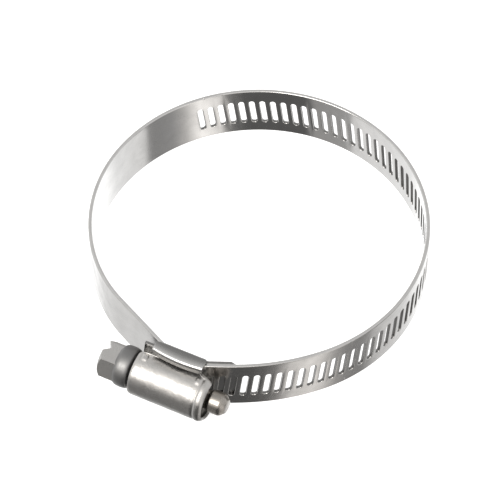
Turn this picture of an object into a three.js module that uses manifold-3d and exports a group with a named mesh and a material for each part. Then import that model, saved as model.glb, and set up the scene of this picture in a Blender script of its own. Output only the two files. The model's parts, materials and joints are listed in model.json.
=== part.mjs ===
// Worm-drive hose clamp with a perforated band, in millimetres.
// The ring's axis is Z and its centre is the origin. The housing sits at -Y, and the screw runs
// along X with its hex head at -X. Turning the screw clockwise, seen from its head, draws the
// free end of the band towards -X and tightens the ring.
import * as THREE from "three";
import { mergeVertices } from "three/addons/utils/BufferGeometryUtils.js";
import Module from "manifold-3d";

const wasm = await Module();
wasm.setup();

// ---- Driving dimensions ----
const bandWidth = 14.2;
const bandThickness = 0.6;
const ringOuterRadius = 38.8;
const splitGap = 0.2; // between neighbouring stretches of the one band
const stackGap = 0.1; // between the sheets that lie on each other inside the housing

// Band route, seen from above. Angles are in degrees.
const linerLength = 6.9; // the inner end's sloping part past the saddle, measured along X
const linerLead = 0.05; // how much sooner the liner bends up than the free end below it
const linerSlope = 23.9;
const linerClip = 1.7; // clipped corners of the liner's end
const kinkX = -3.2; // where the band leaves the saddle
const leadSlope = 25.5; // of the straight stretch after the kink
const leadLength = 16.6;
const ringStart = 172; // where the round stretch begins
const ringEnd = -44; // and where it leaves for the housing
const entrySlope = 21.5; // of the band where it meets the tail
const bendReach = 0.36; // handles of the easy bends, as a share of their span
const entryX = 6.15; // where the free end comes into the housing and becomes the tail
const tailLimitX = -9; // the tail's end stays to the right of this, clear of the collar
const splitAngles = [190, 92, -12]; // where the ring is split into stretches

// Slots
const slotPitch = 2.5;
const slotCount = 65;
const slotLength = 7.6;
const slotWidth = 1.3;
const slotLean = 6.5; // degrees
const slotDrop = 0.25; // middle of the slots below the middle of the band
const slotMargin = 1.2; // tail end to the middle of its first slot

// Saddle: a plate inside the band whose sides rise past the band's rims and fold over the cap
const saddleDrop = 0.15; // saddle's inner face past the ring's outer radius
const plateSheet = 0.45;
const plateInset = 0.3; // plate's ends to the bends of the band above it
const wallSheet = 0.6;
const wallGap = 0.3; // band rim to side wall
const wallInset = 0.8; // how much further in the walls start at their foot
const wallLeftX = -5.6;
const wallRightX = 6.7;
const lipLeftRise = -0.15; // lip's inner face past the flange's outer face, at its left end
const lipRightRise = 0.65; // at its right end
const lipBowRise = 1.95; // and at the control point of its bow
const lipGap = 0.85; // lip's edge to the side of the cap

// Housing cap
const capSheet = 0.9;
const flangeSheet = 0.55;
const flangeInset = 1.2; // how much shorter the flanges are than the walls, at each end
const capLeftX = -8.4;
const capRightX = 9.1;
const flangeGap = 0.3; // flange to the band below it and to the walls beside it
const rimLength = 1.0; // thicker rim at the cap's right end
const rimHeight = 0.12;
const rimStep = 0.1; // rim's inner face past the bore

// Screw
const threadRadius = 3.6;
const rootRadius = 2.6;
const crestWidth = 0.55;
const threadFootWidth = 1.1;
const threadSink = 0.4; // foot of the thread below the root, where the two join
const crestGap = 0.08; // thread crest to the liner
const boreGap = 0.8; // thread crest to the cap
const threadLeftX = -7.2;
const threadRightX = 7.4;
const hexAcrossFlats = 7.94;
const hexLength = 3.9;
const hexTurn = 7; // degrees, first corner about the screw's axis from +Y towards +Z
const hexChamfer = 0.7;
const driverSlotDepth = 1.7; // of the slot across the head's end, in line with the axis
const driverSlotLean = 33; // degrees, how far the slot's two walls lean towards -Y
const driverSlotTurn = -7.5; // degrees, the slot about the screw's axis, from Z
const collarRadius = 4.78;
const collarLength = 3.6;
const collarRound = 0.5;
const collarGap = 0.8; // collar to the cap's end
const neckRadius = 2.2;
const neckLength = 1.6;
const tipRadius = 2.65;
const tipLength = 3.9;
const tipChamfer = 0.9;
const tipBevel = 0.3; // at the neck

// ---- Values that follow ----
const bandRadius = ringOuterRadius - bandThickness / 2;
const saddleInnerY = -ringOuterRadius - saddleDrop;
const fixedY = saddleInnerY - plateSheet - stackGap - bandThickness / 2;
const freeY = fixedY - bandThickness - stackGap;
const flangeInnerY = freeY - bandThickness / 2 - flangeGap;
const flangeOuterY = flangeInnerY - flangeSheet;
const screwY = fixedY - bandThickness / 2 - crestGap - threadRadius;
const halfBand = bandWidth / 2;
const capInner = threadRadius + boreGap;
const capOuter = capInner + capSheet;
const wallInnerZ = halfBand + wallGap;
const wallOuterZ = wallInnerZ + wallSheet;
const tailSlots = Math.floor((entryX - slotMargin - tailLimitX) / slotPitch + 0.5);
const tailEndX = entryX - slotMargin - (tailSlots - 0.5) * slotPitch;
const slotXInTail = (index) => tailEndX + slotMargin + index * slotPitch;
const linerBendX = entryX - linerLead;
const linerEndX = linerBendX + linerLength;

// ---- Helpers ----
const rad = THREE.MathUtils.degToRad;
const axisX = new THREE.Vector3(1, 0, 0);
const axisY = new THREE.Vector3(0, 1, 0);
const axisZ = new THREE.Vector3(0, 0, 1);
const point = (x, y) => new THREE.Vector2(x, y);
const polar = (degrees, radius = 1) =>
  point(radius * Math.cos(rad(degrees)), radius * Math.sin(rad(degrees)));
const steel = (color, roughness) => new THREE.MeshStandardMaterial({ color, roughness, metalness: 1 });

function solidOf(geometry) {
  const bare = geometry.clone();
  bare.deleteAttribute("normal");
  bare.deleteAttribute("uv");
  const merged = mergeVertices(bare, 1e-4);
  return new wasm.Manifold(
    new wasm.Mesh({
      numProp: 3,
      vertProperties: merged.attributes.position.array,
      triVerts: new Uint32Array(merged.index.array),
    }),
  );
}

function meshOf(name, solid, material) {
  const { vertProperties, triVerts } = solid.getMesh();
  const geometry = new THREE.BufferGeometry();
  geometry.setAttribute("position", new THREE.BufferAttribute(vertProperties, 3));
  geometry.setIndex(new THREE.BufferAttribute(triVerts, 1));
  geometry.computeVertexNormals();
  const mesh = new THREE.Mesh(geometry, material);
  mesh.name = name;
  return mesh;
}

function box(lowX, highX, lowY, highY, lowZ, highZ) {
  const geometry = new THREE.BoxGeometry(highX - lowX, highY - lowY, highZ - lowZ);
  return solidOf(geometry.translate((lowX + highX) / 2, (lowY + highY) / 2, (lowZ + highZ) / 2));
}

// A flat outline drawn along two axes and extruded along the third, across x up.
function extrude(shape, across, up, low, high, curveSegments = 12) {
  const options = { depth: high - low, bevelEnabled: false, curveSegments };
  const geometry = new THREE.ExtrudeGeometry(shape, options).translate(0, 0, low);
  const axes = new THREE.Matrix4().makeBasis(across, up, across.clone().cross(up));
  return solidOf(geometry.applyMatrix4(axes));
}

// A profile of (radius, x) points turned about the screw's axis.
function turned(profile, segments = 24) {
  const geometry = new THREE.LatheGeometry(profile, segments);
  return solidOf(geometry.rotateZ(-Math.PI / 2).translate(0, screwY, 0));
}

// ---- Band ----
// The route runs from the liner's end, left through the saddle, clockwise round the ring as seen
// from above, and back into the housing to the end of the tail.
const kink = point(kinkX, fixedY);
const leadDirection = polar(180 - leadSlope);
const leadEnd = kink.clone().addScaledVector(leadDirection, leadLength);
const entry = point(entryX, freeY);
const linerBend = point(linerBendX, fixedY);
const linerEnd = point(linerEndX, fixedY + linerLength * Math.tan(rad(linerSlope)));

function easyBend(from, fromDirection, to, toDirection) {
  const reach = from.distanceTo(to) * bendReach;
  const first = from.clone().addScaledVector(fromDirection, reach);
  return new THREE.CubicBezierCurve(from, first, to.clone().addScaledVector(toDirection, -reach), to);
}

const stretches = [
  new THREE.LineCurve(linerEnd, linerBend),
  new THREE.LineCurve(linerBend, kink),
  new THREE.LineCurve(kink, leadEnd),
  easyBend(leadEnd, leadDirection, polar(ringStart, bandRadius), polar(ringStart - 90)),
  new THREE.EllipseCurve(0, 0, bandRadius, bandRadius, rad(ringStart), rad(ringEnd), true),
  easyBend(polar(ringEnd, bandRadius), polar(ringEnd - 90), entry, polar(180 + entrySlope)),
  new THREE.LineCurve(entry, point(tailEndX, freeY)),
];
const route = new THREE.CurvePath();
for (const stretch of stretches) {
  stretch.arcLengthDivisions = 400;
  route.add(stretch);
}
const [bendAt, kinkAt, , ringStartAt, , entryAt, routeLength] = route.getCurveLengths();
const ringAt = (degrees) => ringStartAt + rad(ringStart - degrees) * bandRadius;
const slotAt = (index) => routeLength - slotMargin - index * slotPitch;
const slotIndex = (place) => (routeLength - slotMargin - place) / slotPitch;
const betweenSlots = (place) => slotAt(Math.floor(slotIndex(place)) + 0.5);

function routeFrame(place) {
  const step = 0.02;
  const at = (s) => route.getPoint(THREE.MathUtils.clamp(s, 0, routeLength) / routeLength);
  const along = at(place + step).sub(at(place - step)).normalize();
  return { centre: at(place), along };
}

// A stretch of band between two places on the route, with a facet for each slot pitch. An end
// that is a split runs on to the cut, which leans as the slots do.
function strip(from, to, fromCut = false, toCut = false) {
  const reach = bandWidth * Math.tan(rad(slotLean));
  const first = fromCut ? from - reach : from;
  const last = toCut ? to + reach : to;
  const places = [first, last];
  for (const corner of [bendAt, kinkAt, entryAt]) {
    if (corner > first && corner < last) places.push(corner);
  }
  const clear = (place) => places.every((other) => Math.abs(other - place) > bandThickness / 2);
  for (let index = Math.floor(slotIndex(first)) - 0.5; slotAt(index) < last; index--) {
    if (clear(slotAt(index))) places.push(slotAt(index));
  }
  places.sort((a, b) => a - b);
  const side = (offset) =>
    places.map((place) => {
      const { centre, along } = routeFrame(place);
      return centre.add(point(-along.y, along.x).multiplyScalar(offset));
    });
  const outline = new THREE.Shape([...side(bandThickness / 2).reverse(), ...side(-bandThickness / 2)]);
  let solid = extrude(outline, axisX, axisY, -halfBand, halfBand);
  for (let index = 0; index < slotCount; index++) {
    if (slotAt(index) > first && slotAt(index) < last) solid = solid.subtract(slotCutter(slotAt(index)));
  }
  if (fromCut) solid = solid.subtract(splitCutter(from, -1));
  if (toCut) solid = solid.subtract(splitCutter(to, 1));
  return solid;
}

// Places a cutter that is drawn along the band and up it, leaning with the slots.
function leaning(geometry, place) {
  const { centre, along } = routeFrame(place);
  const across = new THREE.Vector3(along.x, along.y, 0);
  const axes = new THREE.Matrix4().makeBasis(across, axisZ, across.clone().cross(axisZ));
  geometry.rotateZ(rad(slotLean)).applyMatrix4(axes);
  return solidOf(geometry.translate(centre.x, centre.y, 0));
}

// Takes away what lies past a split on one side of it, with half of the gap.
function splitCutter(place, side) {
  const length = slotPitch * 2;
  const block = new THREE.BoxGeometry(length, bandWidth * 1.5, bandThickness * 5);
  return leaning(block.translate((side * (length - splitGap)) / 2, 0, 0), place);
}

// The round-ended slot through the band at one place, long across the band and leaning.
function slotCutter(place) {
  const half = (slotLength - slotWidth) / 2;
  const shape = new THREE.Shape();
  shape.absarc(0, half - slotDrop, slotWidth / 2, 0, Math.PI, false);
  shape.absarc(0, -half - slotDrop, slotWidth / 2, Math.PI, 2 * Math.PI, false);
  const depth = bandThickness * 3;
  const geometry = new THREE.ExtrudeGeometry(shape, { depth, bevelEnabled: false, curveSegments: 4 });
  return leaning(geometry.translate(0, 0, -depth / 2), place);
}

function fixedEnd() {
  const corner = (side) => {
    const triangle = new THREE.Shape([
      point(side * (halfBand - linerClip), linerEndX + bandThickness),
      point(side * (halfBand + bandThickness), linerEndX - linerClip),
      point(side * (halfBand + bandThickness), linerEndX + bandThickness),
    ]);
    return extrude(triangle, axisZ, axisX, freeY, fixedY + linerLength);
  };
  return strip(0, kinkAt - splitGap / 2).subtract(corner(1)).subtract(corner(-1));
}

// ---- Saddle ----
function saddle() {
  const left = kinkX + plateInset;
  const right = linerBendX - plateInset;
  const plate = box(left, right, saddleInnerY - plateSheet, saddleInnerY, -wallOuterZ, wallOuterZ);
  const edge = (sheet) =>
    new THREE.QuadraticBezierCurve(
      point(wallLeftX, flangeOuterY - lipLeftRise - sheet),
      point((wallLeftX + wallRightX) / 2, flangeOuterY - lipBowRise - sheet),
      point(wallRightX, flangeOuterY - lipRightRise - sheet),
    ).getPoints(10);
  const wall = new THREE.Shape([
    point(wallRightX, saddleInnerY - wallInset),
    point(wallRightX - wallInset * 2, saddleInnerY),
    point(wallLeftX + wallInset, saddleInnerY),
    point(wallLeftX, saddleInnerY - wallInset),
    ...edge(wallSheet),
  ]);
  const lip = new THREE.Shape([...edge(wallSheet), ...edge(0).reverse()]);
  let solid = plate;
  for (const side of [1, -1]) {
    const span = (shape, low, high) =>
      extrude(shape, axisX, axisY, side > 0 ? low : -high, side > 0 ? high : -low);
    solid = solid.add(span(wall, wallInnerZ, wallOuterZ)).add(span(lip, capOuter + lipGap, wallOuterZ));
  }
  return solid;
}

// ---- Housing cap ----
function arch(inner, outer, lowX, highX, legY) {
  const shape = new THREE.Shape();
  shape.moveTo(legY, inner);
  shape.lineTo(screwY, inner);
  shape.absarc(screwY, 0, inner, Math.PI / 2, Math.PI * 1.5, false);
  shape.lineTo(legY, -inner);
  shape.lineTo(legY, -outer);
  shape.lineTo(screwY, -outer);
  shape.absarc(screwY, 0, outer, Math.PI * 1.5, Math.PI / 2, true);
  shape.lineTo(legY, outer);
  return extrude(shape, axisY, axisZ, lowX, highX, 16);
}

function cap() {
  const rimLegY = (screwY + flangeOuterY) / 2;
  const rim = arch(capInner + rimStep, capOuter + rimHeight, capRightX - rimLength, capRightX, rimLegY);
  let solid = arch(capInner, capOuter, capLeftX, capRightX, flangeInnerY).add(rim);
  for (const side of [1, -1]) {
    const inner = side * (capInner + capSheet / 2);
    const outer = side * (wallInnerZ - flangeGap);
    const low = Math.min(inner, outer);
    const high = Math.max(inner, outer);
    const left = wallLeftX + flangeInset;
    const right = wallRightX - flangeInset;
    solid = solid.add(box(left, right, flangeOuterY, flangeInnerY, low, high));
  }
  return solid;
}

// ---- Screw ----
// The centre line of the thread's foot, wound right-handed about the screw's axis.
class Helix extends THREE.Curve {
  constructor(lowX, highX, crestX) {
    super();
    Object.assign(this, { lowX, highX, crestX });
  }
  angle(t) {
    return (2 * Math.PI * (THREE.MathUtils.lerp(this.lowX, this.highX, t) - this.crestX)) / slotPitch;
  }
  getPoint(t, target = new THREE.Vector3()) {
    const angle = this.angle(t);
    const x = THREE.MathUtils.lerp(this.lowX, this.highX, t);
    return target.set(x, screwY + Math.cos(angle) * rootRadius, Math.sin(angle) * rootRadius);
  }
  computeFrenetFrames(segments) {
    const frames = { tangents: [], normals: [], binormals: [] };
    for (let i = 0; i <= segments; i++) {
      const angle = this.angle(i / segments);
      frames.tangents.push(this.getTangent(i / segments));
      frames.normals.push(new THREE.Vector3(0, Math.cos(angle), Math.sin(angle)));
      frames.binormals.push(new THREE.Vector3(-1, 0, 0));
    }
    return frames;
  }
}

function thread() {
  const height = threadRadius - rootRadius;
  const foot = -threadSink;
  const section = new THREE.Shape([
    point(foot, -threadFootWidth / 2),
    point(height, -crestWidth / 2),
    point(height, crestWidth / 2),
    point(foot, threadFootWidth / 2),
  ]);
  const turns = (threadRightX - threadLeftX) / slotPitch;
  const extrudePath = new Helix(threadLeftX, threadRightX, slotXInTail(0));
  return solidOf(new THREE.ExtrudeGeometry(section, { steps: Math.round(turns * 20), extrudePath }));
}

function screw() {
  const collarRightX = capLeftX - collarGap;
  const collarLeftX = collarRightX - collarLength;
  const headLeftX = collarLeftX - hexLength;
  const neckX = threadRightX + crestWidth;
  const tipX = neckX + neckLength;
  const tipRightX = tipX + tipLength;
  const shaft = turned([
    point(0, collarLeftX),
    point(collarRadius - collarRound, collarLeftX),
    point(collarRadius, collarLeftX + collarRound),
    point(collarRadius, collarRightX - collarRound),
    point(collarRadius - collarRound, collarRightX),
    point(rootRadius, collarRightX),
    point(rootRadius, neckX),
    point(neckRadius, neckX),
    point(neckRadius, tipX),
    point(tipRadius - tipBevel, tipX),
    point(tipRadius, tipX + tipBevel),
    point(tipRadius, tipRightX - tipChamfer),
    point(tipRadius - tipChamfer, tipRightX),
    point(0, tipRightX),
  ]);
  const cornerRadius = hexAcrossFlats / Math.sqrt(3);
  const barLength = hexLength + collarLength / 2;
  const hex = new THREE.CylinderGeometry(cornerRadius, cornerRadius, barLength, 6);
  hex.rotateZ(-Math.PI / 2).rotateX(rad(hexTurn - 30)).translate(headLeftX + barLength / 2, screwY, 0);
  const bevel = turned([
    point(0, headLeftX),
    point(cornerRadius - hexChamfer, headLeftX),
    point(cornerRadius + hexChamfer, headLeftX + hexChamfer * 2),
    point(cornerRadius + hexChamfer, collarRightX),
    point(0, collarRightX),
  ]);
  const cut = new THREE.BoxGeometry(cornerRadius * 4, cornerRadius * 4, cornerRadius * 4);
  cut.translate(-cornerRadius * 2, cornerRadius * 2, 0).rotateZ(rad(driverSlotLean));
  cut.rotateX(rad(driverSlotTurn)).translate(headLeftX + driverSlotDepth, screwY, 0);
  return shaft.add(thread()).add(solidOf(hex).intersect(bevel).subtract(solidOf(cut)));
}

// ---- Assembly ----
const splits = splitAngles.map((angle) => betweenSlots(ringAt(angle))).concat(entryAt);
const model = new THREE.Group();
model.add(meshOf("saddle", saddle(), steel(0xa9a9a8, 0.32)));
model.add(meshOf("housing", cap(), steel(0xb4b3b0, 0.3)));
model.add(meshOf("screw", screw(), steel(0x8f8f8e, 0.28)));
model.add(meshOf("band_fixed_end", fixedEnd(), steel(0xbdbdbb, 0.25)));
model.add(meshOf("band_arc_1", strip(kinkAt + splitGap / 2, splits[0], false, true), steel(0xbdbdbb, 0.25)));
for (let i = 1; i < splits.length; i++) {
  const solid = strip(splits[i - 1], splits[i], true, true);
  model.add(meshOf("band_arc_" + (i + 1), solid, steel(0xbdbdbb, 0.25)));
}
model.add(meshOf("band_tail", strip(entryAt, routeLength, true), steel(0xbdbdbb, 0.25)));

export default model;
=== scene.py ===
import json
import math

import bmesh
import bpy
import numpy as np
from mathutils import Euler, Matrix, Vector


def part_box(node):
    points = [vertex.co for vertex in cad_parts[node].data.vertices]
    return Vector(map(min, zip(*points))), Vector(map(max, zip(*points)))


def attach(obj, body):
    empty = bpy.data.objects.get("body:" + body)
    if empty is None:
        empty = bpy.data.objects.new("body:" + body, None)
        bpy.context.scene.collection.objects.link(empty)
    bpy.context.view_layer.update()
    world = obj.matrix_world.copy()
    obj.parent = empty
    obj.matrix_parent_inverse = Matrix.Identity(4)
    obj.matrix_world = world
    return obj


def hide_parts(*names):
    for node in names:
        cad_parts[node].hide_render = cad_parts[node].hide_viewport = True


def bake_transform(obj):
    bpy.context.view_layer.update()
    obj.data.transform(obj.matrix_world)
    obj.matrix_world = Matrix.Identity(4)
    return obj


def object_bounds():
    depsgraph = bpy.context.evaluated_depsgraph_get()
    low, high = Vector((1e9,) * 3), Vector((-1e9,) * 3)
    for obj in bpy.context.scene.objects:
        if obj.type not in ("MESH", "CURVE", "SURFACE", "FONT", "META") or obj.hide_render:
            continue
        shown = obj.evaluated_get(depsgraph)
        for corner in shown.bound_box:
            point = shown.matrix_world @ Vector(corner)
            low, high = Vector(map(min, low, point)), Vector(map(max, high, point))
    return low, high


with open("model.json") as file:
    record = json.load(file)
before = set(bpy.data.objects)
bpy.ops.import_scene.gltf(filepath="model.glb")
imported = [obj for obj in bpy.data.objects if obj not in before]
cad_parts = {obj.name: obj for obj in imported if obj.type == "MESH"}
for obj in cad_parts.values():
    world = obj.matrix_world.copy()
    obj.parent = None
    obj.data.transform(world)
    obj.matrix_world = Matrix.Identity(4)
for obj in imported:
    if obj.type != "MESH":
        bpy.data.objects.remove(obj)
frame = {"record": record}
cad_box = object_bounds()

# ---- Camera ----
# A long lens looks down on the clamp from its housing side, so that the ring opens up and the
# screw, the slots and the inside of the band all show.
mm = 0.001
camera = bpy.data.objects.new("camera", bpy.data.cameras.new("camera"))
camera.data.lens = 190.3
camera_height, camera_bearing, camera_roll = 53.57, 26.2, -0.542
camera_place = Vector((-1.95 * mm, -2.29 * mm, 602.3 * mm))
look = Euler((math.radians(90 - camera_height), 0, math.radians(camera_bearing))).to_matrix()
aim = Matrix.Translation(look @ camera_place)
camera.matrix_world = aim @ (look @ Matrix.Rotation(math.radians(camera_roll), 3, "Z")).to_4x4()
bpy.context.scene.collection.objects.link(camera)
bpy.context.scene.camera = camera
bpy.context.scene.view_settings.view_transform = "Standard"


# ---- Floor ----
# A bright white table top. The clamp lies on the rim of its saddle. Its steel mirrors the room
# and not the table, so that the table's white doesn't wash out the dark side of the band.
def node(tree, kind, **inputs):
    """Adds a shader node and sets its properties and inputs by name; a socket is linked."""
    made = tree.nodes.new(kind)
    for name, value in inputs.items():
        if hasattr(made, name):
            setattr(made, name, value)
            continue
        place = int(name[1:]) if name[1:].isdigit() else name.replace("_", " ")
        socket = made.inputs[place]
        if isinstance(value, bpy.types.NodeSocket):
            tree.links.new(value, socket)
        else:
            socket.default_value = value
    return made


def new_material(name):
    material = bpy.data.materials.new(name)
    material.use_nodes = True
    material.node_tree.nodes.clear()
    return material, material.node_tree


floor_half = 2.0
floor_mesh = bpy.data.meshes.new("floor")
floor_z = cad_box[0][2]
floor_signs = ((-1, -1), (1, -1), (1, 1), (-1, 1))
floor_corners = [(x * floor_half, y * floor_half, floor_z) for x, y in floor_signs]
floor_mesh.from_pydata(floor_corners, [], [(0, 1, 2, 3)])
floor = bpy.data.objects.new("floor", floor_mesh)
bpy.context.scene.collection.objects.link(floor)
floor.visible_glossy = False
table_white, tree = new_material("table_white")
white = node(
    tree,
    "ShaderNodeBsdfPrincipled",
    Base_Color=(0.9, 0.9, 0.9, 1),
    Roughness=0.8,
    Emission_Color=(1, 1, 1, 1),
    Emission_Strength=0.62,
)
node(tree, "ShaderNodeOutputMaterial", Surface=white.outputs[0])
floor_mesh.materials.append(table_white)

# ---- Light ----
# A white room that is open at the front: pale walls and a pale ceiling, a dark doorway where the
# camera stands with a bright strip of wall beside it, and one soft box overhead.
world = bpy.data.worlds.new("room")
world.use_nodes = True
bpy.context.scene.world = world
tree = world.node_tree
tree.nodes.clear()


def brightness_ramp(factor, stops):
    ramp = node(tree, "ShaderNodeValToRGB", Fac=factor)
    elements = ramp.color_ramp.elements
    for place, grey, warmth in stops:
        element = elements.new(place) if place > 0 else elements[0]
        element.color = (grey * (1 + warmth), grey, grey * (1 - warmth), 1)
    elements.remove(elements[-1])
    return ramp.outputs["Color"]


def bearing(degrees):
    """Place on a ramp that runs once round the room, for a bearing counted from +X to +Y."""
    return (degrees + 180) / 360


toward = node(tree, "ShaderNodeTexCoord").outputs["Generated"]
around = node(tree, "ShaderNodeTexGradient", gradient_type="RADIAL", Vector=toward).outputs["Fac"]
height = node(tree, "ShaderNodeSeparateXYZ", Vector=toward).outputs["Z"]
walls = brightness_ramp(
    around,
    [
        (0, 0.95, 0),
        (bearing(-133), 0.84, 0.01),
        (bearing(-130), 0.38, 0.01),
        (bearing(-102), 0.34, 0.02),
        (bearing(-99), 0.11, 0.01),
        (bearing(-56), 0.11, 0.01),
        (bearing(-43), 0.22, 0.02),
        (bearing(-39), 0.86, 0.03),
        (bearing(-24), 1.22, 0.03),
        (bearing(-14), 0.56, 0.03),
        (bearing(-4), 0.32, 0.01),
        (bearing(17), 0.25, 0.01),
        (bearing(19), 0.8, 0.01),
        (bearing(52), 0.98, 0),
        (bearing(72), 1.4, 0),
        (bearing(152), 1.35, 0),
        (bearing(166), 0.97, 0),
        (1, 0.95, 0),
    ],
)
ceiling = brightness_ramp(
    around,
    [
        (0, 0.75, 0.01),
        (bearing(-140), 0.85, 0.02),
        (bearing(-105), 1.05, 0.04),
        (bearing(-60), 0.95, 0.03),
        (bearing(40), 0.75, 0),
        (bearing(116), 0.6, 0.01),
        (1, 0.75, 0.01),
    ],
)
rise = node(
    tree, "ShaderNodeMapRange", interpolation_type="SMOOTHSTEP", Value=height, From_Min=0.0, From_Max=0.5
).outputs[0]
room = node(tree, "ShaderNodeMix", data_type="RGBA", Factor=rise)
tree.links.new(walls, room.inputs[6])
tree.links.new(ceiling, room.inputs[7])
glow = node(tree, "ShaderNodeBackground", Color=room.outputs[2], Strength=1.0)
node(tree, "ShaderNodeOutputWorld", Surface=glow.outputs[0])

soft_box = bpy.data.objects.new("soft_box", bpy.data.lights.new("soft_box", "AREA"))
soft_box.data.size = 0.35
soft_box.data.energy = 1.6
soft_box.data.color = (1.0, 0.97, 0.93)
soft_box_place = Vector((-0.08, -0.35, 0.42))
soft_box.location = soft_box_place
soft_box.rotation_euler = soft_box_place.to_track_quat("Z", "Y").to_euler()
bpy.context.scene.collection.objects.link(soft_box)

# ---- Band ----
# One strip of thin stainless steel. Its slots are punched through it at a slight lean, its rims
# are rolled round, and it is bent to a ring whose two ends lie on each other in the housing.
band_low, band_high = (np.array(corner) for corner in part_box("band_arc_3"))
fixed_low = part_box("band_fixed_end")[0]
tail_low, tail_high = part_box("band_tail")
band_width = band_high[2] - band_low[2]
band_sheet = tail_high[1] - tail_low[1]
rim_round = 0.22 * mm
punched_edge = 0.13 * mm
ring_radius = band_high[1] - band_sheet / 2
fixed_line = fixed_low[1] + band_sheet / 2
free_line = tail_low[1] + band_sheet / 2
slot_pitch = 2.5 * mm
slot_count = 65
slot_length = 7.6 * mm
slot_width = 1.3 * mm
slot_drop = 0.25 * mm
slot_margin = 1.2 * mm
slot_lean = math.tan(math.radians(6.5))
liner_clip = 1.7 * mm


def heading(degrees, length=1.0):
    return np.array((math.cos(math.radians(degrees)), math.sin(math.radians(degrees)))) * length


def line(start, end):
    share = np.linspace(0, 1, 200, endpoint=False)[:, None]
    return start + (end - start) * share


def easy_bend(start, start_along, end, end_along):
    reach = np.linalg.norm(end - start) * 0.36
    t = np.linspace(0, 1, 400, endpoint=False)[:, None]
    near, far = start + start_along * reach, end - end_along * reach
    return start * (1 - t) ** 3 + near * 3 * t * (1 - t) ** 2 + far * 3 * t**2 * (1 - t) + end * t**3


ring_start, ring_end = 172, -44
kink = np.array((-3.2 * mm, fixed_line))
lead_slope, lead_length = 25.5, 16.6 * mm
lead_along = heading(180 - lead_slope)
lead_end = kink + lead_along * lead_length
tail_end = np.array((tail_low[0], free_line))
tail_slots, entry_slope = 6, 21.5
entry = tail_end + (slot_margin + (tail_slots - 0.5) * slot_pitch, 0)
liner_bend = np.array((entry[0] - 0.05 * mm, fixed_line))
liner_slope, liner_length = 23.9, 6.9 * mm
liner_end = liner_bend + heading(liner_slope, liner_length / math.cos(math.radians(liner_slope)))
arc = [heading(a, ring_radius) for a in np.linspace(ring_start, ring_end, 1200, endpoint=False)]
path = np.vstack(
    [
        line(liner_end, liner_bend),
        line(liner_bend, kink),
        line(kink, lead_end),
        easy_bend(lead_end, lead_along, heading(ring_start, ring_radius), heading(ring_start - 90)),
        arc,
        easy_bend(
            heading(ring_end, ring_radius),
            heading(ring_end - 90),
            entry,
            heading(180 + entry_slope),
        ),
        line(entry, tail_end),
        tail_end,
    ]
)


def measured(points):
    return np.concatenate([[0], np.cumsum(np.linalg.norm(np.diff(points, axis=0), axis=1))])


# Even steps along the path, with its three corners eased to bends that a press can make.
path_step = 0.1 * mm
bend_reach = 8
run = measured(path)
even = np.arange(-bend_reach, int(run[-1] / path_step) + bend_reach + 1) * path_step
inside = np.column_stack([np.interp(even, run, path[:, axis]) for axis in (0, 1)])
first_step = path[1] - path[0]
inside += np.clip(-even, 0, None)[:, None] * -first_step / np.linalg.norm(first_step)
inside += np.clip(even - run[-1], 0, None)[:, None] * heading(180)
kernel = np.hanning(2 * bend_reach + 3)[1:-1]
kernel /= kernel.sum()
middle = np.column_stack([np.convolve(inside[:, axis], kernel, "valid") for axis in (0, 1)])
run = measured(middle)
band_length = run[-1]
tangent = np.gradient(middle, axis=0)
tangent /= np.linalg.norm(tangent, axis=1)[:, None]


def on_band(along, across, out=0.0):
    """Place of a point of the strip: along it, across it, and out from its middle."""
    x, y = (np.interp(along, run, middle[:, axis]) for axis in (0, 1))
    tx, ty = (np.interp(along, run, tangent[:, axis]) for axis in (0, 1))
    return Vector((x - ty * out, y + tx * out, across))


def slot_at(index):
    return band_length - slot_margin - index * slot_pitch


def between_slots(along):
    return slot_at(round((band_length - slot_margin - along) / slot_pitch + 0.5) - 0.5)


def ring_at(degrees):
    """How far along the strip the ring passes a bearing."""
    bearings = np.unwrap(np.arctan2(middle[:, 1], middle[:, 0]))
    bearings += 2 * math.pi * round((math.pi - bearings[len(bearings) // 2]) / (2 * math.pi) - 0.25)
    return float(np.interp(-math.radians(degrees), -bearings, run))


arc_top, arc_bottom = (side * (slot_length - slot_width) / 2 - slot_drop for side in (1, -1))
rim = band_width / 2
shoulder = rim - liner_clip
shaft_heights = np.linspace(arc_top, arc_bottom, 5)
heights = [rim, shoulder, *shaft_heights, -shoulder, -rim]


def slotted_cell(centre):
    """Quads of the strip around one slot, as (along, across) corners."""
    lean = math.atan(slot_lean)
    hole = []
    for turn in np.linspace(0, math.pi, 9):
        hole.append((math.cos(turn) * slot_width / 2, arc_top + math.sin(turn) * slot_width / 2))
    hole += [(-slot_width / 2, across) for across in shaft_heights[1:-1]]
    for turn in np.linspace(math.pi, 2 * math.pi, 9):
        hole.append((math.cos(turn) * slot_width / 2, arc_bottom + math.sin(turn) * slot_width / 2))
    hole += [(slot_width / 2, across) for across in shaft_heights[-2:0:-1]]
    hole = [
        (centre + a * math.cos(lean) - c * math.sin(lean), a * math.sin(lean) + c * math.cos(lean))
        for a, c in hole
    ]
    half = slot_pitch / 2
    edge = [(half, arc_top), (half, shoulder)]
    edge += [(share * half, rim) for share in (1, 0.5, 0, -0.5, -1)]
    edge += [(-half, across) for across in (shoulder, *shaft_heights, -shoulder)]
    edge += [(share * half, -rim) for share in (-1, -0.5, 0, 0.5, 1)]
    edge += [(half, across) for across in (-shoulder, *shaft_heights[:0:-1])]
    edge = [(centre + a - c * slot_lean, c) for a, c in edge]
    count = len(hole)
    return [[edge[i], edge[(i + 1) % count], hole[(i + 1) % count], hole[i]] for i in range(count)]


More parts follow.
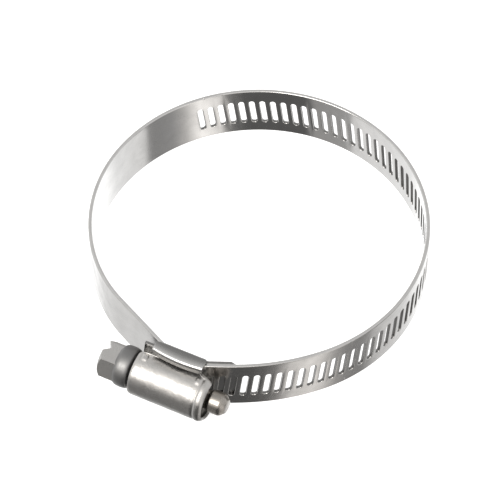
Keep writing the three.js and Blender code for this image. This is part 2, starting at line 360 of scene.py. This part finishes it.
def plain_columns(start, end):
    """Quads of the strip where it has no slots. The strip's first end has clipped corners, and
    the last columns lean over to meet the first slot."""
    lean_from = slots_from - 6 * mm
    count = max(1, round((end - start) / (1.1 * mm)))

    def corner(share, across):
        along = start + (end - start) * share
        along += max(0, abs(across) - shoulder) * max(0, 1 - along / (2.2 * mm))
        leaning = min(1, max(0, (along - lean_from) / (slots_from - lean_from)))
        return along - across * slot_lean * leaning, across

    quads = []
    for column in range(count):
        left, right = column / count, (column + 1) / count
        for top, bottom in zip(heights, heights[1:]):
            quads.append(
                [corner(left, top), corner(left, bottom), corner(right, bottom), corner(right, top)]
            )
    return quads


slots_from = slot_at(slot_count - 0.5)
slots_to = slot_at(-0.5)


def strip_quads(start, end):
    quads = []
    if start < slots_from:
        quads += plain_columns(start, min(end, slots_from))
    for index in range(slot_count):
        if start < slot_at(index) < end:
            quads += slotted_cell(slot_at(index))
    if end > slots_to:
        quads += [
            [(slots_to - c * slot_lean, c), (end, c), (end, d), (slots_to - d * slot_lean, d)]
            for c, d in zip(heights, heights[1:])
        ]
    return quads


def new_object(name, mesh_or_bm, materials, weighted=True):
    """A smooth-shaded object from a mesh under construction."""
    mesh = bpy.data.meshes.new(name)
    mesh_or_bm.to_mesh(mesh)
    mesh_or_bm.free()
    for material in materials:
        mesh.materials.append(material)
    mesh.shade_smooth()
    made = bpy.data.objects.new(name, mesh)
    bpy.context.scene.collection.objects.link(made)
    if weighted:
        made.modifiers.new("even_shading", "WEIGHTED_NORMAL").keep_sharp = True
    return made


def settle(made):
    """Turns the object's modifiers into its own mesh."""
    bpy.context.view_layer.update()
    depsgraph = bpy.context.evaluated_depsgraph_get()
    mesh = bpy.data.meshes.new_from_object(made.evaluated_get(depsgraph))
    made.modifiers.clear()
    made.data = mesh
    return made


# Cut faces get a dark, rough steel: slot walls, where the dark is painted shade, and more of the edge at
# the strip's two ends, which is simply drawn darker.
slot_wall_normal, end_edge_normal, outer_normal = 0.3, 0.95, 0.5
inner_end_zone, free_end_zone = 9 * mm, 3.6 * mm


def strip(name, start, end, materials):
    """A solid stretch of the strip, with round rims and slots, and flat ends at its seams."""
    bm = bmesh.new()
    skins = {}

    def vertex(corner, side):
        key = (round(corner[0] * 1e8), round(corner[1] * 1e8), side)
        if key not in skins:
            skins[key] = bm.verts.new((corner[0], corner[1], side * band_sheet / 2))
        return skins[key]

    for quad in strip_quads(start, end):
        bm.faces.new([vertex(corner, 1) for corner in quad])
        bm.faces.new([vertex(corner, -1) for corner in reversed(quad)])
    partner = {skins[key]: skins[key[0], key[1], -key[2]] for key in skins}
    for edge in [edge for edge in bm.edges if edge.is_boundary and edge.verts[0].co.z > 0]:
        a, b = edge.verts
        bm.faces.new([a, b, partner[b], partner[a]])
    bmesh.ops.recalc_face_normals(bm, faces=bm.faces)

    def at_seam(verts):
        spots = [vert.co.x + vert.co.y * slot_lean * (slots_from < vert.co.x) for vert in verts]
        seams = [place for place in (start, end) if 0 < place < band_length]
        return any(all(abs(spot - place) < 0.01 * mm for spot in spots) for place in seams)

    def round_off(offset, segments, belongs):
        edges = [
            edge
            for edge in bm.edges
            if edge.calc_face_angle() > 1
            and edge.verts[0].co.z * edge.verts[1].co.z > 0
            and not at_seam(edge.verts)
            and belongs(edge)
        ]
        bmesh.ops.bevel(bm, geom=edges, offset=offset, segments=segments, profile=0.5, affect="EDGES")

    def around_slot(edge):
        inner = all(abs(vert.co.y) < shoulder - 0.1 * mm for vert in edge.verts)
        return inner and all(0.5 * mm < vert.co.x < band_length - 0.3 * mm for vert in edge.verts)

    round_off(punched_edge, 2, around_slot)
    round_off(rim_round, 4, lambda edge: not around_slot(edge))
    uv = bm.loops.layers.uv.new("strip")
    for face in bm.faces:
        for loop in face.loops:
            loop[uv].uv = (loop.vert.co.x / mm, loop.vert.co.y / mm)
        in_slot = all(abs(vert.co.y) < shoulder - 0.1 * mm for vert in face.verts)
        spot = face.calc_center_median().x
        at_end = not inner_end_zone < spot < band_length - free_end_zone
        # Slot walls and the edges near the ends get the dark steel, painted shade on the slot walls.
        if abs(face.normal.z) < (slot_wall_normal if in_slot else end_edge_normal if at_end else 0):
            face.material_index = 1
        # The outer face gets a darker copy of the band's steel: painted shade.
        elif face.normal.z > outer_normal:
            face.material_index = 2
        if at_seam(face.verts):
            for edge in face.edges:
                edge.smooth = False
    for vert in bm.verts:
        vert.co = on_band(*vert.co)
    bmesh.ops.recalc_face_normals(bm, faces=bm.faces)
    return settle(new_object(name, bm, materials))


def sheet_steel(name, colour, roughness, along, speckle=0.35, dents=0.0, strip_map=False, painted_light_bands=()):
    """Rolled stainless: fine draw lines along one direction, cloudy tone, painted shade in its crevices
    and, if given, bands of painted light and shade.
    """
    material, tree = new_material(name)

    def noise(vector, scale, detail, fineness):
        settings = {"Vector": vector, "Scale": scale, "Detail": detail, "Roughness": fineness}
        return node(tree, "ShaderNodeTexNoise", **settings).outputs[0]

    def remapped(value, low, high, to_low, to_high):
        settings = {"From_Min": low, "From_Max": high, "To_Min": to_low, "To_Max": to_high}
        return node(tree, "ShaderNodeMapRange", Value=value, **settings).outputs[0]

    def combined(operation, one, other):
        return node(tree, "ShaderNodeMath", operation=operation, i0=one, i1=other).outputs[0]

    if strip_map:
        place = node(tree, "ShaderNodeUVMap", uv_map="strip").outputs[0]
    else:
        place = node(tree, "ShaderNodeTexCoord").outputs["Object"]
        scaled = node(tree, "ShaderNodeVectorMath", operation="SCALE", Vector=place, Scale=1 / mm)
        place = scaled.outputs[0]
    stretched = node(tree, "ShaderNodeVectorMath", operation="MULTIPLY", i0=place, i1=along)
    lines = noise(stretched.outputs[0], 9.0, 4.0, 0.6)
    cloud = noise(place, 0.28, 3.0, 0.55)
    grain = noise(place, 7.0, 3.0, 0.6)
    tone = remapped(cloud, 0.3, 0.7, 0.93, 1.04)
    streak = remapped(lines, 0.3, 0.7, 0.965, 1.02)
    shade = combined("MULTIPLY", tone, streak)
    # Painted shade: the colour is darkened where other surfaces are close, in creases, under the lips
    # and between parts.
    crevice = node(tree, "ShaderNodeAmbientOcclusion", samples=8, Distance=1.2 * mm).outputs["AO"]
    painted_crevice_shade = remapped(crevice, 0.1, 0.75, 0.3, 1.0)
    shade = combined("MULTIPLY", shade, painted_crevice_shade)
    # Painted light and shade in bands, read from the strip map's first coordinate.
    if painted_light_bands:
        across = node(tree, "ShaderNodeUVMap", uv_map="strip").outputs[0]
        across = node(tree, "ShaderNodeSeparateXYZ", Vector=across).outputs[0]
        first, last = painted_light_bands[0][0], painted_light_bands[-1][0]
        share = node(tree, "ShaderNodeMapRange", Value=across, From_Min=first, From_Max=last)
        painted_light_ramp = node(tree, "ShaderNodeValToRGB", Fac=share.outputs[0])
        elements = painted_light_ramp.color_ramp.elements
        for spot, grey in painted_light_bands:
            element = elements.new(min(0.999, (spot - first) / (last - first)))
            element.color = (grey, grey, grey, 1)
        elements.remove(elements[-1])
        elements.remove(elements[0])
        shade = combined("MULTIPLY", shade, painted_light_ramp.outputs[0])
    tint = node(tree, "ShaderNodeVectorMath", operation="SCALE", Vector=colour, Scale=shade)
    gloss = remapped(cloud, 0.3, 0.7, roughness * 1.2, roughness * 0.82)
    rough = remapped(grain, 0.35, 0.75, -0.25 * roughness * speckle, 0.75 * roughness * speckle)
    finish = combined("ADD", gloss, rough)
    scratch = node(tree, "ShaderNodeBump", Strength=0.12, Distance=0.004 * mm, Height=lines)
    scratched = scratch.outputs[0]
    pits = node(
        tree, "ShaderNodeBump", Strength=0.3, Distance=0.006 * mm, Height=grain, Normal=scratched
    )
    normal = pits.outputs[0]
    if dents:
        hollow = noise(place, 0.62, 1.5, 0.5)
        normal = node(
            tree, "ShaderNodeBump", Strength=1.0, Distance=dents, Height=hollow, Normal=normal
        ).outputs[0]
    steel = node(
        tree,
        "ShaderNodeBsdfPrincipled",
        Base_Color=tint.outputs[0],
        Metallic=1.0,
        Roughness=finish,
        Normal=normal,
    )
    node(tree, "ShaderNodeOutputMaterial", Surface=steel.outputs[0])
    return material


drawn_along = (0.04, 1.0, 1.0)
band_steel = sheet_steel("band_steel", (0.76, 0.755, 0.745), 0.13, drawn_along, strip_map=True)
sheared_and_shaded_steel = sheet_steel("sheared_and_shaded_steel", (0.25, 0.247, 0.243), 0.38, (1.0, 1.0, 0.1))
# A darker, rougher copy of the band's steel for the strip's outer face; its darker colour is painted
# shade.
outer_shaded_steel = sheet_steel("outer_shaded_steel", (0.6, 0.592, 0.58), 0.2, drawn_along, strip_map=True)

# The strip is drawn as five stretches, which meet at seams: one past the kink and three between slots on
# the ring.
kink_at = float(run[np.argmin(np.linalg.norm(middle - kink, axis=1))])
entry_at = float(run[np.argmin(np.linalg.norm(middle - entry, axis=1))])
first_seam, seam_bearings = kink_at + 24 * mm, (136, 40, -34)
slot_seams = [between_slots(ring_at(degrees)) for degrees in seam_bearings]
seams = [0.0, first_seam, *slot_seams, band_length]
stretches = [
    ("band_inner_end", "frame", "band_arc_1", kink_at, None),
    ("band_left", "band_arc_1", "band_arc_2", None, None),
    ("band_back", "band_arc_2", "band_arc_3", None, None),
    ("band_right", "band_arc_3", "band_arc_4", None, None),
    ("band_free_end", "band_arc_4", "band_tail", None, entry_at),
]
band_cad = ["band_fixed_end", "band_arc_1", "band_arc_2", "band_arc_3", "band_arc_4", "band_tail"]
stretch_margin = 2 * mm
for index, (name, before, after, bend_from, bend_to) in enumerate(stretches):
    start, end = seams[index], seams[index + 1]
    piece = strip(name, start, end, [band_steel, sheared_and_shaded_steel, outer_shaded_steel])
    last = on_band(bend_to or end - stretch_margin, 0)
    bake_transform(piece)
    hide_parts(*(band_cad[:2] if index == 0 else [band_cad[index + 1]]))

# ---- Saddle ----
# The lower half of the housing: one pressed sheet. A plate lies inside the band, its sides are
# folded up past the band's rims, and their bowed edges are rolled over the cap's flanges.
def pressed_sheet(name, rows, sheet, edge, material, from_fold=None):
    """A sheet with round cut edges, bent to the rows of points of its middle surface."""
    bm = bmesh.new()
    grid = [[bm.verts.new(point) for point in row] for row in rows]
    for one, other in zip(grid, grid[1:]):
        for corners in zip(one, one[1:], other[1:], other):
            bm.faces.new(corners)
    if from_fold:
        uv = bm.loops.layers.uv.new("strip")
        places = {vert: place for row, marks in zip(grid, from_fold) for vert, place in zip(row, marks)}
        for face in bm.faces:
            for loop in face.loops:
                loop[uv].uv = (places[loop.vert] / mm, loop.vert.co.x / mm)
    made = new_object(name, bm, [material], weighted=False)
    solid = made.modifiers.new("sheet", "SOLIDIFY")
    solid.thickness, solid.offset = sheet, 0
    solid.use_even_offset = True
    edges = made.modifiers.new("cut_edges", "BEVEL")
    edges.width, edges.segments, edges.angle_limit = edge, 3, math.radians(50)
    made.modifiers.new("even_shading", "WEIGHTED_NORMAL").keep_sharp = True
    return settle(made)


def ease(share):
    share = min(1, max(0, share))
    return share * share * (3 - 2 * share)


def mix(low, high, share):
    return low + (high - low) * share


saddle_low, saddle_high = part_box("saddle")
saddle_sheet = 0.5 * mm
foot_bend = 0.5 * mm
lip_bend = 0.5 * mm
lip_turn = math.radians(90)
lip_edge_z = 6.1 * mm
wall_crown = 0.16 * mm
bow_ends = (saddle_low[1] + 1.41 * mm, saddle_low[1] + 1.1 * mm)
bow_control = saddle_low[1] + 0.2 * mm
plate_ends = (-2.9 * mm, 5.8 * mm)
fold_start = 18  # steps of the section before the fold


def saddle_section(share):
    """Middle of the sheet from the plate's centre out to the lip's edge, as (y, z, widening)."""
    plate_y = saddle_high[1] - saddle_sheet / 2
    wall_z = saddle_high[2] - saddle_sheet / 2
    outer = bow_ends[0] * (1 - share) ** 2
    outer += 2 * bow_control * share * (1 - share)
    outer += bow_ends[1] * share**2
    lip_y = outer + saddle_sheet / 2
    points = [(plate_y, z, 0) for z in np.linspace(0, wall_z - wall_crown - foot_bend, 7)]
    for turn in np.linspace(0, math.pi / 2, 7)[1:]:
        down = plate_y - foot_bend * (1 - math.cos(turn))
        across = wall_z - wall_crown - foot_bend * (1 - math.sin(turn))
        points.append((down, across, ease(turn / (math.pi / 2))))
    wall_from, wall_to = plate_y - foot_bend, lip_y + lip_bend
    for step in np.linspace(0, 1, 7)[1:]:
        crown = wall_crown * (1 - math.sin(step * math.pi / 2))
        points.append((mix(wall_from, wall_to, step), wall_z - crown, 1))
    for turn in np.linspace(0, lip_turn, 10)[1:]:
        across = wall_z - lip_bend * (1 - math.cos(turn))
        points.append((wall_to - lip_bend * math.sin(turn), across, 1))
    fold_y, fold_z, _ = points[-1]
    for z in np.linspace(fold_z, lip_edge_z, 4)[1:]:
        inward = (fold_z - z) / math.tan(lip_turn)
        points.append((fold_y - inward, z, 1 - 0.07 * (z == lip_edge_z)))
    return points


saddle_columns, fold_distances = [], []
for share in np.linspace(0, 1, 33):
    half = []
    section = saddle_section(share)
    lengths = [math.dist(one[:2], other[:2]) for one, other in zip(section, section[1:])]
    distances = np.cumsum([0, *lengths]) - sum(lengths[:fold_start])
    fold_distances.append([*distances[:0:-1], *distances])
    for y, z, widening in section:
        left = mix(plate_ends[0], saddle_low[0] + 0.05 * mm, widening)
        right = mix(plate_ends[1], saddle_high[0] - 0.05 * mm, widening)
        half.append((mix(left, right, share), y, z))
    saddle_columns.append([(x, y, -z) for x, y, z in half[:0:-1]] + half)
# Painted light and shade by distance from the fold, in millimetres: painted reflections in bands across
# the wall, a painted highlight along the fold and painted shade on the lip.
painted_light_bands = [(-4, 0.6), (-2.9, 0.95), (-2.4, 0.5), (-1.4, 0.6), (-0.7, 0.9)]
painted_light_bands += [(0, 1.4), (0.4, 1.2), (0.75, 0.36), (3, 0.3)]
saddle_steel = sheet_steel(
    "saddle_steel", (0.5, 0.497, 0.49), 0.26, (0.15, 1.0, 1.0), dents=0.02 * mm, painted_light_bands=painted_light_bands
)
saddle_edge = 0.13 * mm
saddle = pressed_sheet(
    "saddle_pressing", saddle_columns, saddle_sheet, saddle_edge, saddle_steel, fold_distances
)
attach(saddle, "frame")
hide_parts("saddle")

# ---- Housing cap ----
# The upper half of the housing: a sheet rolled to a half pipe over the screw. Its flanges lie
# under the saddle's lips, its right end is rolled in behind a groove, and two plain die marks
# stand on its top.
cap_low, cap_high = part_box("housing")
joints = {joint["name"]: joint for joint in frame["record"]["behaviour"]["joints"]}
screw_y = joints["screw_turn"]["pos_m"][1]
cap_sheet = 0.62 * mm
cap_radius = 5.3 * mm - cap_sheet / 2
flange_y = cap_high[1] - 0.3 * mm
flange_bend = 0.5 * mm
flange_ends = (-4.4 * mm, 5.5 * mm)
cap_ends = (cap_low[0], cap_high[0])
corner_cut = 2.0 * mm
die_marks = [(-6.7, 0.8, 0.5, 0.75), (6.5, 0.2, 0.5, 0.6)]
cap_columns = 111


def cap_section():
    """Middle of the sheet from one flange's edge round to the other's, as (y, z, (outward y,
    outward z), widening), where widening goes from the flange's length to the cap's."""
    top = []
    for z in np.linspace(cap_high[2] - 0.1 * mm, cap_radius + flange_bend, 4):
        top.append((flange_y, z, (-1, 0), 0))
    for turn in np.linspace(0, math.pi / 2, 7)[1:]:
        y = flange_y - flange_bend * (1 - math.cos(turn))
        z = cap_radius + flange_bend * (1 - math.sin(turn))
        top.append((y, z, (-math.cos(turn), math.sin(turn)), ease(turn / (math.pi / 2))))
    for y in np.linspace(flange_y - flange_bend, screw_y, 12)[1:]:
        top.append((y, cap_radius, (0, 1), 1))
    for turn in np.linspace(0, math.pi / 2, 25)[1:]:
        y, z = screw_y - cap_radius * math.sin(turn), cap_radius * math.cos(turn)
        top.append((y, z, (-math.sin(turn), math.cos(turn)), 1))
    bottom = [(y, -z, (out[0], -out[1]), widening) for y, z, out, widening in top[-2::-1]]
    return top + bottom


def cap_relief(x, y, side):
    """How far the sheet stands out: rolled-in rim, groove beside it, and the die marks."""
    roll = min(0.93, max(0, (x - cap_ends[1] + 0.95 * mm) / (0.95 * mm)))
    out = 0.08 * mm * ease((x - cap_ends[1] + 1.6 * mm) / (0.4 * mm))
    out -= 0.95 * mm * (1 - math.sqrt(1 - roll**2))
    out -= 0.14 * mm * math.exp(-(((x - cap_ends[1] + 1.75 * mm) / (0.3 * mm)) ** 2))
    out -= 0.1 * mm * ease((cap_ends[0] + 0.5 * mm - x) / (0.5 * mm))
    if side > 0:
        for mark_x, mark_y, half_x, half_y in die_marks:
            over_x = abs(x / mm - mark_x) / half_x
            over_y = abs((y - screw_y) / mm - mark_y) / half_y
            out += 0.2 * mm * ease((1.25 - over_x) / 0.5) * ease((1.25 - over_y) / 0.5)
    return out


cap_rows, cap_marks, run_over, last = [], [], 0.0, None
for y, z, outward, widening in cap_section():
    run_over += math.dist(last, (y, z)) if last else 0
    last = (y, z)
    cap_marks.append([run_over] * cap_columns)
    above = max(0, y - screw_y)
    cut = corner_cut * ease((above - mm) / (1.3 * mm)) * widening
    left = mix(flange_ends[0], cap_ends[0] + 0.3 * cut, widening)
    right = mix(flange_ends[1], cap_ends[1] - cut, widening)
    row = []
    for share in np.linspace(0, 1, cap_columns):
        x = mix(left, right, share)
        out = cap_relief(x + cut * share, y, z) * widening
        row.append((x, y + outward[0] * out, z + outward[1] * out))
    cap_rows.append(row)
# Painted shade by distance round from one flange's edge, in millimetres: the cap is painted darker round
# its outer side and lower half, darkest just below the middle.
cap_painted_shade = [(0, 1), (8.0, 1.0), (10.2, 0.74), (12.5, 0.6), (15, 0.52), (26, 0.8)]
cap_steel = sheet_steel(
    "cap_steel",
    (0.6, 0.588, 0.57),
    0.31,
    (0.5, 1.0, 1.0),
    speckle=1.1,
    dents=0.09 * mm,
    painted_light_bands=cap_painted_shade,
)
cap_edge = 0.12 * mm
cap = pressed_sheet("housing_cap", cap_rows, cap_sheet, cap_edge, cap_steel, cap_marks)
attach(cap, "frame")
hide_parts("housing")

# ---- Screw ----
# Cold-headed from one piece of wire, then thread-rolled. The hexagon has a bevelled end with a
# leaning driver slot, then come the collar, the thread in the housing, a neck and a blunt tip.
screw_low, screw_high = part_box("screw")
head_x = screw_low[0]
collar_ends = (head_x + 3.9 * mm, head_x + 7.5 * mm)
collar_radius = 4.78 * mm
root_radius, crest_radius = 2.6 * mm, 3.6 * mm
thread_ends = (-7.2 * mm, 7.4 * mm)
thread_foot, thread_crest = 1.1 * mm, 0.55 * mm
first_crest = tail_end[0] + slot_margin
tip_ends = (screw_high[0] - 3.9 * mm, screw_high[0])
tip_radius = 2.65 * mm
neck_radius = 2.2 * mm


def rounded(x, radius, x_way, radius_way, bend, steps=5):
    """A quarter-round corner of a turned profile, from the radius side to the face side."""
    centre_x, centre_radius = x - x_way * bend, radius - radius_way * bend
    turns = np.linspace(0, math.pi / 2, steps)
    return [
        (centre_x + x_way * bend * math.sin(t), centre_radius + radius_way * bend * math.cos(t))
        for t in turns
    ]


def thread_height(x, turn):
    phase = (x - first_crest) / slot_pitch - turn / (2 * math.pi)
    off = abs(phase - round(phase)) * slot_pitch
    flank = (thread_foot / 2 - off) / (thread_foot / 2 - thread_crest / 2)
    run_in = ease((x - thread_ends[0]) / (0.7 * mm)) * ease((thread_ends[1] - x) / (0.7 * mm))
    return (crest_radius - root_radius) * min(1, max(0, flank)) * run_in


profile = [(collar_ends[0], 0.0), (collar_ends[0], collar_radius - 1.3 * mm)]
collar_middle = (collar_ends[0] + collar_ends[1]) / 2
collar_half = (collar_ends[1] - collar_ends[0]) / 2
square_share, round_share, squareness = 0.55, 0.45, 0.75
nearly_upright = 1.57
for turn in np.linspace(-math.pi / 2, math.pi / 2, 25):
    barrel = square_share * math.copysign(abs(math.sin(turn)) ** squareness, turn)
    barrel += round_share * math.sin(turn)
    swell = math.cos(turn) ** 0.5 if abs(turn) < nearly_upright else 0
    profile.append((collar_middle + collar_half * barrel, collar_radius - 1.1 * mm * (1 - swell)))
profile += [(collar_ends[1], root_radius + 0.3 * mm), (collar_ends[1] + 0.3 * mm, root_radius)]
thread_step = 0.11 * mm
thread_places = np.arange(collar_ends[1] + 1.2 * mm, thread_ends[1] + 0.6 * mm, thread_step)
profile += [(x, root_radius) for x in thread_places]
profile += [(thread_ends[1] + 0.75 * mm, neck_radius), (tip_ends[0] - 0.05 * mm, neck_radius)]
profile += [*reversed(rounded(tip_ends[0], tip_radius, -1, 1, 0.35 * mm))]
profile += [
    (tip_ends[1] - 1.5 * mm, tip_radius),
    (tip_ends[1] - 1.1 * mm, tip_radius - 0.12 * mm),
    (tip_ends[1] - 0.75 * mm, tip_radius - 0.36 * mm),
]
profile += [
    (tip_ends[1] - 0.25 * mm, tip_radius - 0.86 * mm),
    (tip_ends[1] - 0.06 * mm, tip_radius - 1.0 * mm),
    (tip_ends[1], tip_radius - 1.15 * mm),
    (tip_ends[1], 0.0),
]


def turned_solid(name, outline, material, sides=72, height=None):
    bm = bmesh.new()
    rings = []
    for x, radius in outline:
        if radius == 0:
            rings.append([bm.verts.new((x, screw_y, 0))] * sides)
            continue
        ring = []
        for side in range(sides):
            turn = 2 * math.pi * side / sides
            reach = radius + (height(x, turn) if height and radius == root_radius else 0)
            ring.append(bm.verts.new((x, screw_y + math.cos(turn) * reach, math.sin(turn) * reach)))
        rings.append(ring)
    for one, other in zip(rings, rings[1:]):
        for side in range(sides):
            after = (side + 1) % sides
            corners = dict.fromkeys((one[side], one[after], other[after], other[side]))
            bm.faces.new(list(corners))
    bmesh.ops.recalc_face_normals(bm, faces=bm.faces)
    return new_object(name, bm, [material], weighted=False)


def cut_with(made, tool, operation):
    change = made.modifiers.new(operation, "BOOLEAN")
    change.object, change.operation, change.solver = tool, operation, "EXACT"
    settle(made)
    bpy.data.objects.remove(tool)


screw_steel = sheet_steel(
    "screw_steel", (0.52, 0.513, 0.5), 0.3, (0.6, 1.0, 1.0), speckle=0.7, dents=0.02 * mm
)
# A bright steel for the hexagon's rounded edges: a painted highlight.
edge_highlight_steel = sheet_steel("edge_highlight_steel", (0.92, 0.9, 0.87), 0.3, (0.6, 1.0, 1.0))
collar_steel = sheet_steel(
    "collar_steel", (0.27, 0.27, 0.268), 0.42, (1.0, 1.0, 1.0), speckle=0.5, dents=0.02 * mm
)
tip_steel = sheet_steel(
    "tip_steel", (0.4, 0.375, 0.345), 0.25, (1.0, 1.0, 1.0), speckle=0.8, dents=0.03 * mm
)
shaft = turned_solid("screw_shaft", profile, screw_steel, height=thread_height)

hex_across = 7.94 * mm
hex_reach = hex_across / 2 / math.cos(math.pi / 6)
hex_turn = math.radians(7)
hex_round = 0.45 * mm
head_end = collar_ends[0] + 0.6 * mm
bm = bmesh.new()
ends = []
for x in (head_x, head_end):
    turns = [hex_turn + corner * math.pi / 3 for corner in range(6)]
    corners = [(x, screw_y + math.cos(t) * hex_reach, math.sin(t) * hex_reach) for t in turns]
    ends.append([bm.verts.new(corner) for corner in corners])
for corner in range(6):
    after = (corner + 1) % 6
    bm.faces.new((ends[0][corner], ends[0][after], ends[1][after], ends[1][corner]))
for end in ends:
    bm.faces.new(end)
bmesh.ops.recalc_face_normals(bm, faces=bm.faces)
head = new_object("screw_head", bm, [screw_steel], weighted=False)
bevel_cone = [
    (head_x - 0.5 * mm, 0.0),
    (head_x - 0.5 * mm, hex_reach - 1.3 * mm),
    (head_x + 1.2 * mm, hex_reach + 0.4 * mm),
    (head_end + mm, hex_reach + 0.4 * mm),
    (head_end + mm, 0.0),
]
cut_with(head, turned_solid("bevel_tool", bevel_cone, screw_steel), "INTERSECT")
slot_depth, driver_lean, driver_turn = 1.7 * mm, math.radians(33), math.radians(-7.5)
tool_size = 16 * mm
bm = bmesh.new()
bmesh.ops.create_cube(bm, size=tool_size)
bmesh.ops.translate(bm, vec=(-tool_size / 2, tool_size / 2, 0), verts=bm.verts)
slot_turn = Matrix.Rotation(driver_turn, 4, "X") @ Matrix.Rotation(driver_lean, 4, "Z")
slot_place = Matrix.Translation((head_x + slot_depth, screw_y, 0)) @ slot_turn
bmesh.ops.transform(bm, matrix=slot_place, verts=bm.verts)
cut_with(head, new_object("slot_tool", bm, [screw_steel], weighted=False), "DIFFERENCE")
# The rounded edges of the hexagon take the bright steel: a painted highlight.
edges = head.modifiers.new("highlight_edges", "BEVEL")
edges.width, edges.segments, edges.angle_limit = hex_round, 3, math.radians(28)
head.data.materials.append(edge_highlight_steel)
edges.material = 1
settle(head)
shaft.data.materials.append(edge_highlight_steel)
cut_with(shaft, head, "UNION")
shaft.data.materials.append(collar_steel)
shaft.data.materials.append(tip_steel)
for face in shaft.data.polygons:
    if collar_ends[0] - 0.1 * mm < face.center.x < collar_ends[1] + 0.4 * mm:
        face.material_index = 2
    elif face.center.x > thread_ends[1]:
        face.material_index = 3
shaft.modifiers.new("even_shading", "WEIGHTED_NORMAL").keep_sharp = True
settle(shaft).data.set_sharp_from_angle(angle=math.radians(55))
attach(shaft, "screw")
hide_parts("screw")
